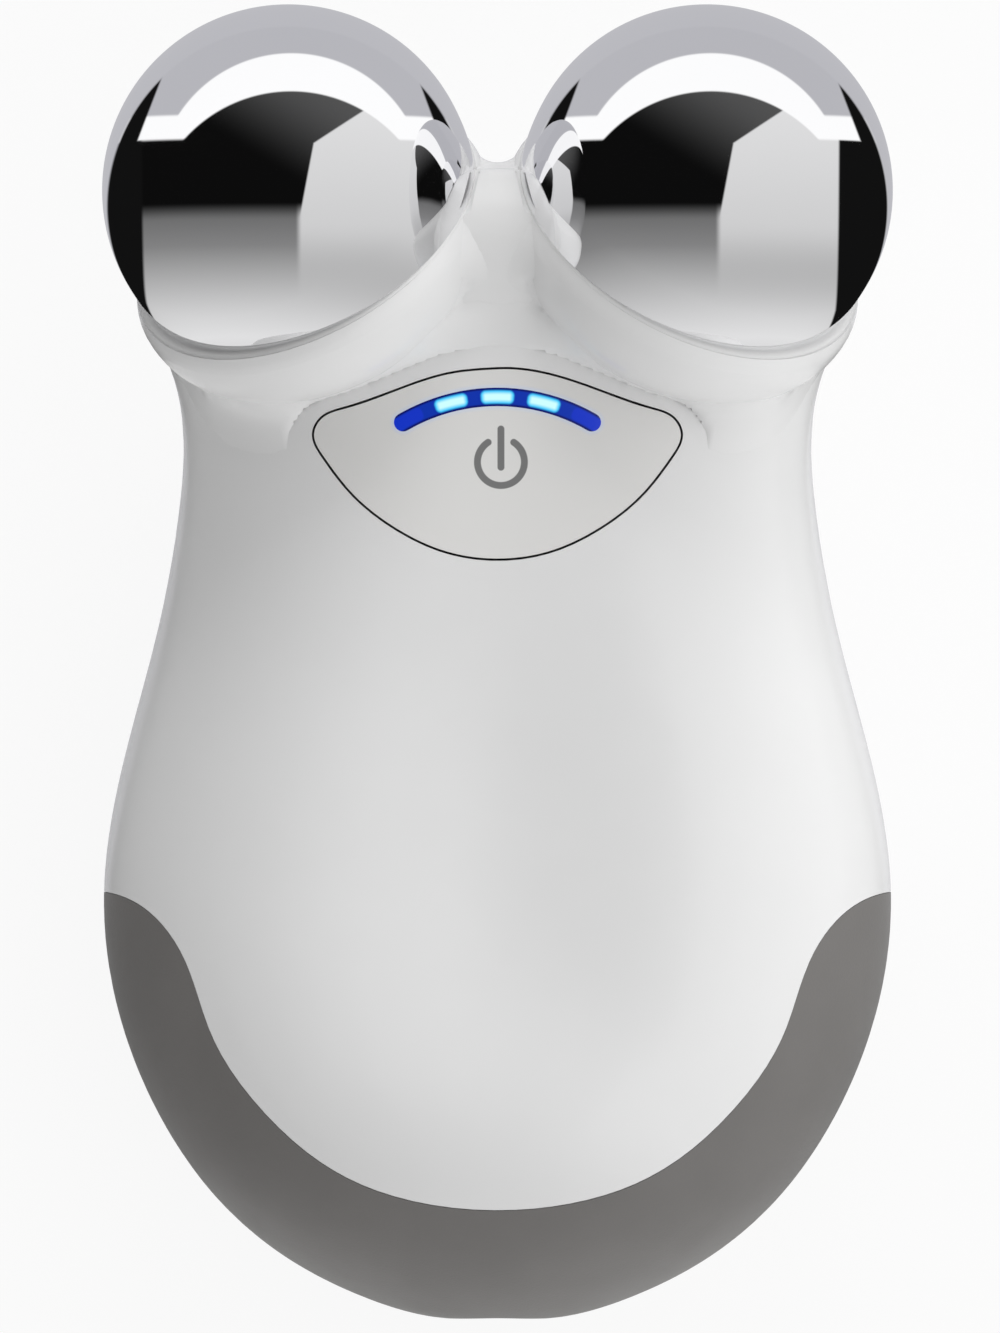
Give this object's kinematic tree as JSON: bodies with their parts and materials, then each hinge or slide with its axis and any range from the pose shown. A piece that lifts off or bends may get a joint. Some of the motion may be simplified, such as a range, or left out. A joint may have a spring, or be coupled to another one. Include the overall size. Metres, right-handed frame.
{
  "type": "facial toning device",
  "caption": "Hand-held facial toning device with two chromed sphere electrodes, a lens-shaped power button with an arc of lights, and a soft-touch grip.",
  "frame": {"origin": "centre of the bounding box seen from the front, on the flat of the back that the device rests on", "axes": "+Z out of the front face, +Y from the grip to the electrodes, +X to the right of someone who looks at the front"},
  "size_m": [0.0684, 0.1139, 0.0466],
  "materials": {
    "housing": "smooth white gloss moulding",
    "grip": "soft-touch satin grey",
    "button": "smooth white gloss moulding",
    "window": "deep blue light guide",
    "light": "clear cyan lights",
    "electrode": "polished chrome",
    "seal": "matte silicone",
    "dark_plastic": "matte moulding",
    "board": "green board",
    "socket": "matte moulding",
    "screw": "plain steel",
    "contact": "plain brass",
    "can": "satin metal",
    "wire": "red silicone insulation"
  },
  "bodies": {
    "housing": {"front_shell": "housing", "rear_shell": "housing", "shell_seal": "seal", "grip_cover": "grip", "led_baffle": "dark_plastic", "status_leds": "light", "tactile_switch": "dark_plastic", "main_board": "board", "board_screws": "screw", "microcontroller": "dark_plastic", "boost_coil": "dark_plastic", "battery_socket": "socket", "buzzer": "dark_plastic", "output_capacitors": "can", "battery_cell": "can", "battery_pad": "seal", "battery_strap": "dark_plastic", "strap_screws": "screw", "case_screws": "screw", "charge_jack": "dark_plastic", "charge_pin": "contact", "electrode_screws": "screw", "electrode_leads": "wire", "battery_leads": "wire", "charge_leads": "wire", "left_electrode": "electrode", "left_electrode_seal": "seal", "left_contact_ring": "contact", "right_electrode": "electrode", "right_electrode_seal": "seal", "right_contact_ring": "contact"},
    "button": {"power_button": "button", "led_window": "window", "switch_plunger": "dark_plastic"}
  },
  "joints": [
    {"name": "button_press", "type": "slide", "parent": "housing", "child": "button", "axis": [0, 0, -1], "range_m": [0, 0.0006], "stiffness_N_per_m": 600, "springref_m": -0.001}
  ]
}
